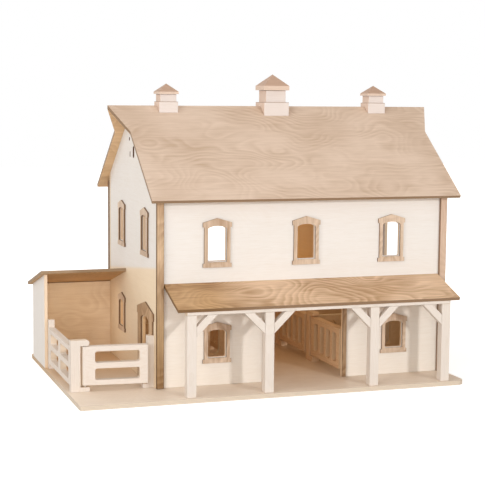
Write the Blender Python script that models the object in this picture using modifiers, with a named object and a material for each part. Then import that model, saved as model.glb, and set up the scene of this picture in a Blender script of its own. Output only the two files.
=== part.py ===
"""Toy barn with stalls, a porch, a lean-to shelter and a paddock with a swinging gate.

The barn is cut from thin plywood and from square softwood. The origin is the centre of the
underside of the base board. +X runs along the front to the right, +Y to the back, where the
loft is left open, and +Z up. All sizes are in metres.
"""

from math import atan, cos, pi, radians, sin, tan

import bmesh
import bpy

# Stock and clearances
PLY = 0.0065
SQUARE_STOCK = 0.019
GATE_STOCK = 0.016
RAIL_STOCK = 0.0127
FRAME_STOCK = 0.0032
BRACE_STOCK = 0.015
GAP = 0.0003
WELD = 0.00001
EASED_EDGE = 0.0008

# Base board and barn body
BASE_THICK = 0.009
BASE_RIGHT_CORNER = 0.018
BASE_LEFT_CORNER = 0.005
PADDOCK_WIDTH = 0.1765
PORCH_DEPTH = 0.107
REAR_LEDGE = 0.025
BARN_WIDTH = 0.640
BARN_DEPTH = 0.405
LOFT_HEIGHT = 0.203

# Main roof, measured on its upper face from the top of the base
RIDGE_HEIGHT = 0.565
EAVE_HEIGHT = 0.382
EAVE_OVERHANG = 0.0437
LEFT_OVERHANG = 0.0190
RIGHT_OVERHANG = 0.0120
HOOD_FLARE = 0.0320
HOOD_RUN = 0.072
HOOD_CORNER = 0.018

# Corner trims
TRIM_WIDTH = 0.0152
TRIM_STOCK = 0.0065

# Windows: one pattern in a tall and a short height
TALL_WINDOW = 0.1000
SHORT_WINDOW = 0.0847
WINDOW_OPENING = 0.0405
WINDOW_JAMBS = 0.0548
WINDOW_HEADER = 0.061
WINDOW_SILL = 0.0606
SILL_HEIGHT = 0.0080
SILL_RISE = 0.0028
HEADER_PITCH = 0.009
HEADER_END = 0.0094
ARCH_CROWN = 0.0070
ARCH_RISE = 0.0065
ARCH_STEPS = 8
HOLE_MARGIN = 0.0015
HOLE_CORNER = 0.0030

# Window places, along each wall from its front or left corner, and the height of the sill's underside
FRONT_WINDOW_INSET = 0.1275
LEFT_LOW_INSET = 0.1280
RIGHT_LOW_INSET = 0.1175
FRONT_TALL_SILL = 0.2420
FRONT_SHORT_SILL = 0.0458
GABLE_FRONT_WINDOW = 0.085
GABLE_REAR_WINDOW = 0.282
GABLE_TALL_SILL = 0.2590
GABLE_SHORT_SILL = 0.0710

# Doorways
DOORWAY_WIDTH = 0.170
DOORWAY_HEIGHT = 0.165
DOORWAY_TRIM = 0.008
SIDE_DOOR_PLACE = 0.076
SIDE_DOOR_WIDTH = 0.066
SIDE_DOOR_JAMBS = 0.117
SIDE_DOOR_HEADER = 0.128
SIDE_DOOR_PEAK = 0.1655
SIDE_DOOR_PITCH = 0.0165
SIDE_DOOR_END = 0.015
SIDE_DOOR_CROWN = 0.0125
SIDE_DOOR_RISE = 0.010
SIDE_DOOR_MARGIN = 0.002
HAY_DOOR_SILL = 0.212
HAY_DOOR_WIDTH = 0.175
HAY_DOOR_HEIGHT = 0.150
HAY_DOOR_RISE = 0.016

# Openings under the left gable: how far behind and below the ridge they start, width and height
VENT_SLOT = {"behind": -0.0205, "below": 0.110, "width": 0.013, "height": 0.025}
VENT_NOTCH = {"behind": 0.0095, "below": 0.109, "width": 0.006, "height": 0.012}
VENT_HOLE = {"behind": 0.0145, "below": 0.075, "width": 0.008, "height": 0.008}

# Porch
PORCH_ROOF_TOP = 0.2115
PORCH_SLOPE = radians(18.9)
PORCH_ROOF_INSET = 0.0165
PORCH_EAVE_REACH = 0.1053
PORCH_POST_FACE = 0.1015
PORCH_POST_HEIGHT = 0.1624
INNER_POST_SPACING = 0.1136
OUTER_POST_INSET = 0.0454
BRACE_OUTER_LEG = 0.043
BRACE_INNER_LEG = 0.0225

# Lean-to shelter
LEAN_TO_DEPTH = 0.155
LEAN_TO_PANEL_DEPTH = 0.143
LEAN_TO_REAR_OVERHANG = 0.017
LEAN_TO_TOP = 0.213
LEAN_TO_SLOPE = radians(15)
LEAN_TO_OVERHANG = 0.0089

# Gates and stall doors: a slotted board between the arms of a post
GATE_LENGTH = 0.133
GATE_BOTTOM = 0.0125
GATE_TOP = 0.0905
GATE_PIVOT_STILE = 0.027
GATE_FREE_STILE = 0.016
GATE_RAIL = 0.010
GATE_MID_RAIL = 0.0112
GATE_REST_TURN = radians(-5)
SLOT_CORNER = 0.004
SLOT_CORNER_STEPS = 4
POST_CLEARANCE = 0.003
PIVOT_STEPS = 8

PADDOCK_LINE = 0.013
GATE_POST_HEIGHT = 0.1035
GATE_UPPER_ARM = 0.0115
GATE_LOWER_ARM = 0.0085
ARM_REACH = 0.0185
LATCH_WIDTH = 0.0127
LATCH_HEIGHT = 0.106
LATCH_FOOT = 0.010

# Fence between the gate post and the lean-to
FENCE_HOLE = 0.083
FENCE_STILE = 0.023
FENCE_END_STILE = 0.020
FENCE_END_POST_HEIGHT = 0.107

# Stalls on both sides of the aisle
AISLE_WIDTH = 0.165
FRONT_DOOR_GAP = 0.0045
REAR_DOOR_GAP = 0.0112
STALL_DOOR_BOTTOM = 0.0145
STALL_DOOR_TOP = 0.1000
STALL_POST_HEIGHT = 0.1105
STALL_UPPER_ARM = 0.009
STALL_LOWER_ARM = 0.012
STALL_PIVOT_STILE = 0.025
STALL_FREE_STILE = 0.0155
STALL_BAR = 0.0125
STALL_SLOTS = 4
PARTITION_SLOT = 0.022
STALL_RAIL = 0.0115
PARTITION_STILE = 0.028

# Hinge pins
PIN_RADIUS = 0.002
PIN_ROOT = 0.002
PIN_SKIN = 0.003
PIN_SIDES = 16

# Cupolas: a stepped block that straddles the ridge, and a hipped roof
CUPOLA_INSET = 0.080
BIG_CUPOLA = {"saddle": 0.0570, "body": 0.0455, "eave": 0.0577, "fascia": 0.0095, "body_top": 0.0340,
              "apex": 0.0686}
SMALL_CUPOLA = {"saddle": 0.0415, "body": 0.0355, "eave": 0.0435, "fascia": 0.0050, "body_top": 0.0240,
                "apex": 0.0465}
SADDLE_TOP = 0.0080

# Places worked out from the sizes above
BASE_LENGTH = PADDOCK_WIDTH + BARN_WIDTH
BASE_DEPTH = PORCH_DEPTH + BARN_DEPTH + REAR_LEDGE
LEFT = PADDOCK_WIDTH - BASE_LENGTH / 2
RIGHT = LEFT + BARN_WIDTH
FRONT = PORCH_DEPTH - BASE_DEPTH / 2
REAR = FRONT + BARN_DEPTH
MIDDLE = LEFT + BARN_WIDTH / 2
ROOF_MIDDLE = MIDDLE + (RIGHT_OVERHANG - LEFT_OVERHANG) / 2
RIDGE = FRONT + BARN_DEPTH / 2
FLOOR = BASE_THICK + GAP
ROOF_RUN = BARN_DEPTH / 2 + EAVE_OVERHANG
ROOF_SLOPE = atan((RIDGE_HEIGHT - EAVE_HEIGHT) / ROOF_RUN)
ROOF_LENGTH = ROOF_RUN / cos(ROOF_SLOPE)
ROOF_SEAT = GAP / cos(ROOF_SLOPE)
PADDOCK_LEFT = LEFT - PADDOCK_WIDTH
PADDOCK_FRONT = FRONT + PADDOCK_LINE
FENCE_FACE = PADDOCK_LEFT + PLY
LEAN_TO_FRONT = BARN_DEPTH - LEAN_TO_DEPTH
LEAN_TO_PANEL_FRONT = BARN_DEPTH - LEAN_TO_PANEL_DEPTH
LEAN_TO_REAR = BARN_DEPTH + LEAN_TO_REAR_OVERHANG
OUTER_POST_SPACING = BARN_WIDTH / 2 - OUTER_POST_INSET
PORCH_ROOF_LENGTH = BARN_WIDTH - 2 * PORCH_ROOF_INSET
STALL_ROOM = BARN_DEPTH - 2 * PLY - GAP - 2 * SQUARE_STOCK - 2 * POST_CLEARANCE
STALL_DOOR_LENGTH = (STALL_ROOM - FRONT_DOOR_GAP - REAR_DOOR_GAP) / 2
STALL_MID_POST = PLY + FRONT_DOOR_GAP + STALL_DOOR_LENGTH + POST_CLEARANCE
STALL_REAR_POST = BARN_DEPTH - PLY - GAP - SQUARE_STOCK
STALL_SLOT_ROOM = STALL_DOOR_LENGTH - STALL_PIVOT_STILE - STALL_FREE_STILE
STALL_SLOT = (STALL_SLOT_ROOM - (STALL_SLOTS - 1) * STALL_BAR) / STALL_SLOTS

# Colours and finishes of the woods, as seen in daylight
WOODS = {
    "pale_birch": ((0.80, 0.69, 0.54, 1.0), 0.55),
    "tan_birch": ((0.52, 0.36, 0.21, 1.0), 0.50),
    "roof_birch": ((0.62, 0.43, 0.26, 1.0), 0.45),
    "porch_birch": ((0.56, 0.36, 0.19, 1.0), 0.45),
    "softwood": ((0.84, 0.74, 0.60, 1.0), 0.60),
}


def start_scene():
    """Empties the scene and makes the two collections."""
    for old in list(bpy.data.objects):
        bpy.data.objects.remove(old)
    for name in ("toy_barn", "cutters"):
        collection = bpy.data.collections.new(name)
        bpy.context.scene.collection.children.link(collection)


def wood(kind):
    """Returns the material of one kind of wood."""
    if kind in bpy.data.materials:
        return bpy.data.materials[kind]
    colour, roughness = WOODS[kind]
    material = bpy.data.materials.new(kind)
    material.use_nodes = True
    shader = material.node_tree.nodes["Principled BSDF"]
    shader.inputs["Base Color"].default_value = colour
    shader.inputs["Roughness"].default_value = roughness
    shader.inputs["Metallic"].default_value = 0
    return material


def add_object(name, mesh, kind):
    """Adds a mesh to the barn as a named piece."""
    piece = bpy.data.objects.new(name, mesh)
    mesh.materials.append(wood(kind))
    bpy.data.collections["toy_barn"].objects.link(piece)
    return piece


def sheet_mesh(name, thick, outline, holes=()):
    """Makes a flat board from an outline and its holes, lying in XY and centred on Z."""
    curve = bpy.data.curves.new(name, "CURVE")
    curve.dimensions = "2D"
    curve.fill_mode = "BOTH"
    curve.extrude = thick / 2
    for loop in (outline, *holes):
        spline = curve.splines.new("POLY")
        spline.points.add(len(loop) - 1)
        for point, (x, y) in zip(spline.points, loop):
            point.co = (x, y, 0, 1)
        spline.use_cyclic_u = True
    guide = bpy.data.objects.new(name, curve)
    bpy.context.scene.collection.objects.link(guide)
    graph = bpy.context.evaluated_depsgraph_get()
    mesh = bpy.data.meshes.new_from_object(guide.evaluated_get(graph))
    bpy.data.objects.remove(guide)
    bm = bmesh.new()
    bm.from_mesh(mesh)
    bmesh.ops.remove_doubles(bm, verts=bm.verts, dist=WELD)
    bmesh.ops.recalc_face_normals(bm, faces=bm.faces)
    bm.to_mesh(mesh)
    bm.free()
    return mesh


def add_sheet(name, kind, thick, outline, holes=()):
    return add_object(name, sheet_mesh(name, thick, outline, holes), kind)


def face_front(piece, x, y, z):
    """Stands a sheet up with its outline's X along +X and its centre plane at y."""
    piece.rotation_euler = (pi / 2, 0, 0)
    piece.location = (x, y, z)


def face_side(piece, x, y, z):
    """Stands a sheet up with its outline's X along +Y and its centre plane at x."""
    piece.rotation_euler = (pi / 2, 0, pi / 2)
    piece.location = (x, y, z)


def add_block(name, kind, low, high, eased=EASED_EDGE):
    """Makes a block of square stock between two corners, with eased edges."""
    bm = bmesh.new()
    bmesh.ops.create_cube(bm, size=1)
    size = [top - bottom for bottom, top in zip(low, high)]
    bmesh.ops.scale(bm, vec=size, verts=bm.verts)
    mesh = bpy.data.meshes.new(name)
    bm.to_mesh(mesh)
    bm.free()
    piece = add_object(name, mesh, kind)
    piece.location = [bottom + length / 2 for bottom, length in zip(low, size)]
    ease(piece, eased)
    return piece


def ease(piece, width):
    """Rounds the sharp edges of a piece."""
    bevel = piece.modifiers.new("eased_edges", "BEVEL")
    bevel.width = width
    bevel.segments = 2
    bevel.limit_method = "ANGLE"
    bevel.angle_limit = radians(40)
    return bevel


def rectangle(x0, y0, x1, y1):
    return [(x0, y0), (x1, y0), (x1, y1), (x0, y1)]


def arc(x, y, radius, start, end, steps):
    """Returns the points of an arc, both ends included."""
    turns = [start + (end - start) * step / steps for step in range(steps + 1)]
    return [(x + radius * cos(turn), y + radius * sin(turn)) for turn in turns]


def round_rectangle(x0, y0, x1, y1, radius, steps):
    """Returns a rectangle whose four corners are rounded."""
    corners = ((x1 - radius, y0 + radius, -pi / 2), (x1 - radius, y1 - radius, 0),
               (x0 + radius, y1 - radius, pi / 2), (x0 + radius, y0 + radius, pi))
    points = []
    for x, y, start in corners:
        points += arc(x, y, radius, start, start + pi / 2, steps)
    return points


def arched_opening(centre, width, bottom, crown, rise):
    """Returns an opening with a flat foot and an elliptical head."""
    half = width / 2
    points = [(centre - half, bottom), (centre + half, bottom)]
    for step in range(ARCH_STEPS + 1):
        turn = pi * step / ARCH_STEPS
        points.append((centre + half * cos(turn), crown - rise + rise * sin(turn)))
    return points


def window_crown(height):
    """Returns the height of the arch's crown above the sill's underside."""
    return height - HEADER_PITCH - ARCH_CROWN


def window_hole(centre, sill, height):
    """Returns the rounded hole in a wall, a margin smaller than the frame's opening."""
    half = WINDOW_OPENING / 2 - HOLE_MARGIN
    bottom = sill + SILL_HEIGHT + SILL_RISE + HOLE_MARGIN
    head = arched_opening(centre, 2 * half, bottom, sill + window_crown(height), ARCH_RISE)[2:]
    corner_x = half - HOLE_CORNER
    corner_y = bottom + HOLE_CORNER
    left = arc(centre - corner_x, corner_y, HOLE_CORNER, pi, 3 * pi / 2, SLOT_CORNER_STEPS)
    right = arc(centre + corner_x, corner_y, HOLE_CORNER, 3 * pi / 2, 2 * pi, SLOT_CORNER_STEPS)
    return left + right + head


def window_outline(height):
    """Returns a window frame's outline: sill, jambs and a pitched header."""
    header_top = height - HEADER_PITCH
    header_foot = header_top - HEADER_END
    right_side = [
        (WINDOW_SILL / 2, 0),
        (WINDOW_SILL / 2, SILL_HEIGHT),
        (WINDOW_JAMBS / 2, SILL_HEIGHT),
        (WINDOW_JAMBS / 2, header_foot),
        (WINDOW_HEADER / 2, header_foot),
        (WINDOW_HEADER / 2, header_top),
    ]
    left_side = [(-x, y) for x, y in reversed(right_side)]
    return right_side + [(0, height)] + left_side


def add_window(name, height):
    opening = arched_opening(0, WINDOW_OPENING, SILL_HEIGHT + SILL_RISE, window_crown(height), ARCH_RISE)
    return add_sheet(name, "tan_birch", FRAME_STOCK, window_outline(height), [opening])


def roof_top(depth):
    """Height of the roof's upper face above the base's top, at a depth behind the front wall."""
    return RIDGE_HEIGHT - tan(ROOF_SLOPE) * abs(BARN_DEPTH / 2 - depth)


def roof_underside(depth):
    return roof_top(depth) - PLY / cos(ROOF_SLOPE) - ROOF_SEAT


def mitre_upper_edge(mesh, thick, slope):
    """Cuts the upper edge of a sloping sheet upright, so that it meets what stands behind it."""
    top = max(vertex.co.y for vertex in mesh.vertices)
    for vertex in mesh.vertices:
        if vertex.co.z < 0 and vertex.co.y > top - WELD:
            vertex.co.y -= thick * tan(slope)


def build_base():
    x = BASE_LENGTH / 2
    y = BASE_DEPTH / 2
    right = round_rectangle(-x, -y, x, y, BASE_RIGHT_CORNER, ARCH_STEPS)
    left = round_rectangle(-x, -y, x, y, BASE_LEFT_CORNER, ARCH_STEPS)
    outline = [point for point in right if point[0] > 0] + [point for point in left if point[0] < 0]
    base = add_sheet("base_board", "pale_birch", BASE_THICK, outline)
    base.location = (0, 0, BASE_THICK / 2)


def build_front_wall():
    inner = PLY + GAP
    top = roof_underside(0) - GAP
    outline = rectangle(inner, 0, BARN_WIDTH - inner, top)
    doorway_left = (BARN_WIDTH - DOORWAY_WIDTH) / 2
    doorway_right = doorway_left + DOORWAY_WIDTH
    outline[1:1] = [(doorway_left, 0), (doorway_left, DOORWAY_HEIGHT),
                    (doorway_right, DOORWAY_HEIGHT), (doorway_right, 0)]
    tall = [FRONT_WINDOW_INSET, BARN_WIDTH / 2, BARN_WIDTH - FRONT_WINDOW_INSET]
    short = [LEFT_LOW_INSET, BARN_WIDTH - RIGHT_LOW_INSET]
    holes = [window_hole(place, FRONT_TALL_SILL, TALL_WINDOW) for place in tall]
    holes += [window_hole(place, FRONT_SHORT_SILL, SHORT_WINDOW) for place in short]
    wall = add_sheet("front_wall", "pale_birch", PLY, outline, holes)
    face_front(wall, LEFT, FRONT + PLY / 2, FLOOR)

    frame_y = FRONT - GAP - FRAME_STOCK / 2
    for name, place in zip(("left", "middle", "right"), tall):
        frame = add_window("loft_window_" + name, TALL_WINDOW)
        face_front(frame, LEFT + place, frame_y, FLOOR + FRONT_TALL_SILL)
    for name, place in zip(("left", "right"), short):
        frame = add_window("stall_window_" + name, SHORT_WINDOW)
        face_front(frame, LEFT + place, frame_y, FLOOR + FRONT_SHORT_SILL)

    trim_left = doorway_left - DOORWAY_TRIM
    trim_right = doorway_right + DOORWAY_TRIM
    trim_top = DOORWAY_HEIGHT + DOORWAY_TRIM
    trim_outline = [(trim_left, 0), (doorway_left, 0), (doorway_left, DOORWAY_HEIGHT),
                    (doorway_right, DOORWAY_HEIGHT), (doorway_right, 0), (trim_right, 0),
                    (trim_right, trim_top), (trim_left, trim_top)]
    trim = add_sheet("doorway_trim", "tan_birch", FRAME_STOCK, trim_outline)
    face_front(trim, LEFT, frame_y, FLOOR)


def gable_outline(start, floor):
    """Returns a wall as deep as the barn that reaches up to the roof's underside."""
    return [(start, floor), (BARN_DEPTH, floor), (BARN_DEPTH, roof_underside(BARN_DEPTH)),
            (BARN_DEPTH / 2, roof_underside(BARN_DEPTH / 2)), (start, roof_underside(start))]


def gable_vent(behind, below, width, height):
    """Returns an upright opening with round ends, as a slot or a round hole."""
    half = width / 2
    depth = BARN_DEPTH / 2 + behind
    foot = RIDGE_HEIGHT - below
    return round_rectangle(depth - half, foot, depth + half, foot + height, half - GAP, SLOT_CORNER_STEPS)


def build_left_wall():
    crown = SIDE_DOOR_PEAK - SIDE_DOOR_PITCH - SIDE_DOOR_CROWN
    side_door = arched_opening(SIDE_DOOR_PLACE, SIDE_DOOR_WIDTH - 2 * SIDE_DOOR_MARGIN, 0,
                               crown - SIDE_DOOR_MARGIN, SIDE_DOOR_RISE)
    outline = gable_outline(0, 0)
    outline[1:1] = [side_door[0], *reversed(side_door[2:]), side_door[1]]
    vents = [gable_vent(**vent) for vent in (VENT_SLOT, VENT_NOTCH, VENT_HOLE)]
    windows = [("gable_window_front", GABLE_FRONT_WINDOW, GABLE_TALL_SILL, TALL_WINDOW),
               ("gable_window_rear", GABLE_REAR_WINDOW, GABLE_TALL_SILL, TALL_WINDOW),
               ("paddock_window", GABLE_REAR_WINDOW, GABLE_SHORT_SILL, SHORT_WINDOW)]
    holes = [window_hole(place, sill, height) for name, place, sill, height in windows]
    wall = add_sheet("left_gable_wall", "pale_birch", PLY, outline, holes + vents)
    face_side(wall, LEFT + PLY / 2, FRONT, FLOOR)
    frame_x = LEFT - GAP - FRAME_STOCK / 2
    for name, place, sill, height in windows:
        frame = add_window(name, height)
        face_side(frame, frame_x, FRONT + place, FLOOR + sill)
    build_side_door_frame(frame_x)


def build_side_door_frame(frame_x):
    """Adds the one-piece surround of the door between the barn and the paddock."""
    header_top = SIDE_DOOR_PEAK - SIDE_DOOR_PITCH
    header_foot = header_top - SIDE_DOOR_END
    half = SIDE_DOOR_WIDTH / 2
    opening = arched_opening(0, SIDE_DOOR_WIDTH, 0, header_top - SIDE_DOOR_CROWN, SIDE_DOOR_RISE)
    outline = [(-SIDE_DOOR_JAMBS / 2, 0), (-half, 0), *reversed(opening[2:]), (half, 0),
               (SIDE_DOOR_JAMBS / 2, 0), (SIDE_DOOR_JAMBS / 2, header_foot),
               (SIDE_DOOR_HEADER / 2, header_foot), (SIDE_DOOR_HEADER / 2, header_top),
               (0, SIDE_DOOR_PEAK), (-SIDE_DOOR_HEADER / 2, header_top),
               (-SIDE_DOOR_HEADER / 2, header_foot), (-SIDE_DOOR_JAMBS / 2, header_foot)]
    frame = add_sheet("side_door_frame", "tan_birch", FRAME_STOCK, outline)
    face_side(frame, frame_x, FRONT + SIDE_DOOR_PLACE, FLOOR)


def build_right_wall():
    hay_door = arched_opening(BARN_DEPTH / 2, HAY_DOOR_WIDTH, HAY_DOOR_SILL, HAY_DOOR_SILL + HAY_DOOR_HEIGHT,
                              HAY_DOOR_RISE)
    wall = add_sheet("right_gable_wall", "pale_birch", PLY, gable_outline(0, 0), [hay_door])
    face_side(wall, RIGHT - PLY / 2, FRONT, FLOOR)


def build_rear_wall():
    """Closes the back of the stalls, up to the loft floor."""
    inner = PLY + GAP
    wall = add_sheet("rear_wall", "pale_birch", PLY,
                     rectangle(inner, 0, BARN_WIDTH - inner, LOFT_HEIGHT - PLY - GAP))
    face_front(wall, LEFT, REAR - PLY / 2, FLOOR)


def build_corner_trims():
    """Adds the flat trims at the front corners and the square posts at the rear ones."""
    for side, x in (("left", LEFT), ("right", RIGHT - TRIM_WIDTH)):
        front = FRONT - GAP - TRIM_STOCK
        top = FLOOR + roof_underside(-GAP - TRIM_STOCK) - GAP
        add_block("front_corner_trim_" + side, "tan_birch", (x, front, FLOOR),
                  (x + TRIM_WIDTH, front + TRIM_STOCK, top))

    for side, x in (("left", LEFT), ("right", RIGHT - SQUARE_STOCK)):
        rear = REAR + GAP
        top = FLOOR + roof_underside(-GAP - SQUARE_STOCK) - GAP
        add_block("rear_corner_post_" + side, "softwood", (x, rear, FLOOR),
                  (x + SQUARE_STOCK, rear + SQUARE_STOCK, top))


def build_loft():
    inner = PLY + GAP
    low = (LEFT + inner, FRONT + inner, FLOOR + LOFT_HEIGHT - PLY)
    high = (RIGHT - inner, REAR, FLOOR + LOFT_HEIGHT)
    outline = rectangle(low[0], low[1], high[0], high[1])
    floor = add_sheet("loft_floor", "pale_birch", PLY, outline)
    floor.location = (0, 0, high[2] - PLY / 2)
    wall = add_sheet("loft_partition", "roof_birch", PLY, gable_outline(inner, LOFT_HEIGHT + GAP))
    face_side(wall, MIDDLE + AISLE_WIDTH / 2 + PLY / 2, FRONT, FLOOR)


def roof_outline(sign):
    """Returns a roof sheet's outline from eave to ridge; sign is -1 for the sheet seen from behind."""
    hood_foot = ROOF_LENGTH - HOOD_RUN / cos(ROOF_SLOPE)
    seam = ROOF_LENGTH - ROOF_SEAT / 2
    left_eave = -LEFT_OVERHANG
    right_eave = BARN_WIDTH + RIGHT_OVERHANG
    left_tip = -LEFT_OVERHANG - HOOD_FLARE
    right_tip = BARN_WIDTH + RIGHT_OVERHANG + HOOD_FLARE
    points = [(left_eave, 0), (right_eave, 0)]
    points += flare_corner(right_eave, hood_foot, right_tip, seam)
    points += [(right_tip, seam), (left_tip, seam)]
    points += reversed(flare_corner(left_eave, hood_foot, left_tip, seam))
    return [(sign * x, y) for x, y in points]


def flare_corner(eave_x, foot_y, tip_x, tip_y):
    """Rounds the inner corner where a gable edge begins to flare out to the hood."""
    side = 1 if tip_x > eave_x else -1
    flare = atan(abs(tip_x - eave_x) / (tip_y - foot_y))
    reach = HOOD_CORNER * tan(flare / 2)
    centre_x = eave_x + side * HOOD_CORNER
    turns = [flare * step / SLOT_CORNER_STEPS for step in range(SLOT_CORNER_STEPS + 1)]
    return [(centre_x - side * HOOD_CORNER * cos(turn), foot_y - reach + HOOD_CORNER * sin(turn))
            for turn in turns]


def build_main_roof():
    drop = PLY / 2
    for name, sign, turn in (("roof_front_sheet", 1, 0), ("roof_rear_sheet", -1, pi)):
        roof = add_sheet(name, "roof_birch", PLY, roof_outline(sign))
        mitre_upper_edge(roof.data, PLY, ROOF_SLOPE)
        roof.rotation_euler = (ROOF_SLOPE, 0, turn)
        eave_y = RIDGE - sign * (ROOF_RUN - drop * sin(ROOF_SLOPE))
        roof.location = (LEFT, eave_y, FLOOR + EAVE_HEIGHT - drop * cos(ROOF_SLOPE))


def build_porch():
    slope_length = PORCH_EAVE_REACH / cos(PORCH_SLOPE)
    x0 = (BARN_WIDTH - PORCH_ROOF_LENGTH) / 2
    outline = rectangle(x0, 0, x0 + PORCH_ROOF_LENGTH, slope_length)
    roof = add_sheet("porch_roof", "porch_birch", PLY, outline)
    mitre_upper_edge(roof.data, PLY, PORCH_SLOPE)
    drop = PLY / 2
    eave_y = FRONT - GAP - PORCH_EAVE_REACH + drop * sin(PORCH_SLOPE)
    eave_z = FLOOR + PORCH_ROOF_TOP - PORCH_EAVE_REACH * tan(PORCH_SLOPE)
    roof.rotation_euler = (PORCH_SLOPE, 0, 0)
    roof.location = (LEFT, eave_y, eave_z - drop * cos(PORCH_SLOPE))

    face = FRONT - PORCH_POST_FACE
    back = face + SQUARE_STOCK
    post_top = FLOOR + PORCH_POST_HEIGHT
    roof_run = PORCH_EAVE_REACH + GAP - PORCH_POST_FACE
    roof_bottom = eave_z + roof_run * tan(PORCH_SLOPE) - PLY / cos(PORCH_SLOPE)
    half_beam = OUTER_POST_SPACING + SQUARE_STOCK / 2
    add_block("porch_beam", "softwood", (MIDDLE - half_beam, face, post_top + GAP),
              (MIDDLE + half_beam, back, roof_bottom - GAP))
    spacings = (-OUTER_POST_SPACING, -INNER_POST_SPACING, INNER_POST_SPACING, OUTER_POST_SPACING)
    brace_sides = ((1,), (-1, 1), (-1, 1), (-1,))
    for number, (spacing, sides) in enumerate(zip(spacings, brace_sides), 1):
        x = MIDDLE + spacing
        add_block(f"porch_post_{number}", "softwood", (x - SQUARE_STOCK / 2, face, FLOOR),
                  (x + SQUARE_STOCK / 2, back, post_top))
        add_braces(number, x, face, post_top, sides)


def add_braces(number, x, face, top, sides):
    """Adds the diagonal braces of one porch post, each cut to sit against the post and the beam."""
    for side in sides:
        corner = side * (SQUARE_STOCK / 2 + GAP)
        outline = [(corner, -BRACE_INNER_LEG), (corner, -BRACE_OUTER_LEG),
                   (corner + side * BRACE_OUTER_LEG, 0), (corner + side * BRACE_INNER_LEG, 0)]
        hand = "right" if side > 0 else "left"
        brace = add_sheet(f"porch_brace_{number}_{hand}", "softwood", BRACE_STOCK, outline)
        face_front(brace, x, face + BRACE_STOCK / 2, top)
        ease(brace, EASED_EDGE)


def lean_to_underside(depth):
    """Height of the lean-to roof's underside at a depth behind the front wall."""
    top = LEAN_TO_TOP - (depth - LEAN_TO_FRONT) * tan(LEAN_TO_SLOPE)
    return top - (PLY + GAP) / cos(LEAN_TO_SLOPE)


def build_lean_to():
    panel = rectangle(LEAN_TO_PANEL_FRONT, 0, BARN_DEPTH, lean_to_underside(BARN_DEPTH))
    panel[3] = (LEAN_TO_PANEL_FRONT, lean_to_underside(LEAN_TO_PANEL_FRONT))
    side = add_sheet("lean_to_side", "pale_birch", PLY, panel)
    face_side(side, PADDOCK_LEFT + PLY / 2, FRONT, FLOOR)

    back_left = PADDOCK_LEFT + PLY + GAP
    back = add_sheet("lean_to_back", "pale_birch", PLY,
                     rectangle(0, 0, LEFT - GAP - back_left, lean_to_underside(BARN_DEPTH)))
    face_front(back, back_left, REAR - PLY / 2, FLOOR)

    length = (LEAN_TO_REAR - LEAN_TO_FRONT) / cos(LEAN_TO_SLOPE)
    roof = add_sheet("lean_to_roof", "roof_birch", PLY,
                     rectangle(PADDOCK_LEFT - LEAN_TO_OVERHANG, 0, LEFT - GAP, length))
    drop = PLY / 2
    roof.rotation_euler = (-LEAN_TO_SLOPE, 0, 0)
    roof.location = (0, FRONT + LEAN_TO_FRONT - drop * sin(LEAN_TO_SLOPE),
                     FLOOR + LEAN_TO_TOP - drop * cos(LEAN_TO_SLOPE))


def gate_slots():
    """Returns the two long slots of the gate, in the gate's length and height."""
    slot = (GATE_TOP - GATE_BOTTOM - 2 * GATE_RAIL - GATE_MID_RAIL) / 2
    lows = (GATE_BOTTOM + GATE_RAIL, GATE_TOP - GATE_RAIL - slot)
    return [(GATE_PIVOT_STILE, low, GATE_LENGTH - GATE_FREE_STILE, low + slot) for low in lows]


def stall_slots(first, width, bar):
    """Returns a row of upright slots, in a door's or a partition's length and height."""
    low = STALL_DOOR_BOTTOM + STALL_RAIL
    high = STALL_DOOR_TOP - STALL_RAIL
    starts = [first + number * (width + bar) for number in range(STALL_SLOTS)]
    return [(start, low, start + width, high) for start in starts]


def add_cutter(name, mesh):
    cutter = bpy.data.objects.new(name, mesh)
    cutter.hide_render = True
    cutter.display_type = "WIRE"
    bpy.data.collections["cutters"].objects.link(cutter)
    return cutter


def combine(piece, cutter, operation):
    boolean = piece.modifiers.new(operation.lower(), "BOOLEAN")
    boolean.operation = operation
    boolean.solver = "EXACT"
    boolean.object = cutter


def add_swinging_board(name, kind, length, bottom, top, slots, corner, pivot, turn):
    """Makes a slotted board whose hinge end is rounded about the pivot.

    The board runs from its pivot along +X, turned about the pivot by turn.
    """
    half = GATE_STOCK / 2
    plan = arc(0, 0, half, pi / 2, 3 * pi / 2, PIVOT_STEPS)
    plan += [(length - half, -half), (length - half, half)]
    board = add_sheet(name, kind, top - bottom, plan)
    board.location = (pivot[0], pivot[1], FLOOR + (bottom + top) / 2)
    board.rotation_euler = (0, 0, turn)
    outlines = [round_rectangle(x0 - half, y0, x1 - half, y1, corner, SLOT_CORNER_STEPS)
                for x0, y0, x1, y1 in slots]
    slot_mesh = sheet_mesh(name + "_slots", 2 * GATE_STOCK, outlines[0], outlines[1:])
    slot_cutter = add_cutter(name + "_slots", slot_mesh)
    slot_cutter.rotation_euler = (pi / 2, 0, turn)
    slot_cutter.location = (pivot[0], pivot[1], FLOOR)
    combine(board, slot_cutter, "DIFFERENCE")
    return board


def add_dowel(name, pivot, bottom, top, radius):
    """Adds an upright round tool on a pivot, between two heights above the base."""
    bm = bmesh.new()
    bmesh.ops.create_cone(bm, cap_ends=True, segments=PIN_SIDES, radius1=radius, radius2=radius,
                          depth=top - bottom)
    mesh = bpy.data.meshes.new(name)
    bm.to_mesh(mesh)
    bm.free()
    dowel = add_cutter(name, mesh)
    dowel.location = (pivot[0], pivot[1], FLOOR + (bottom + top) / 2)
    return dowel


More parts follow.
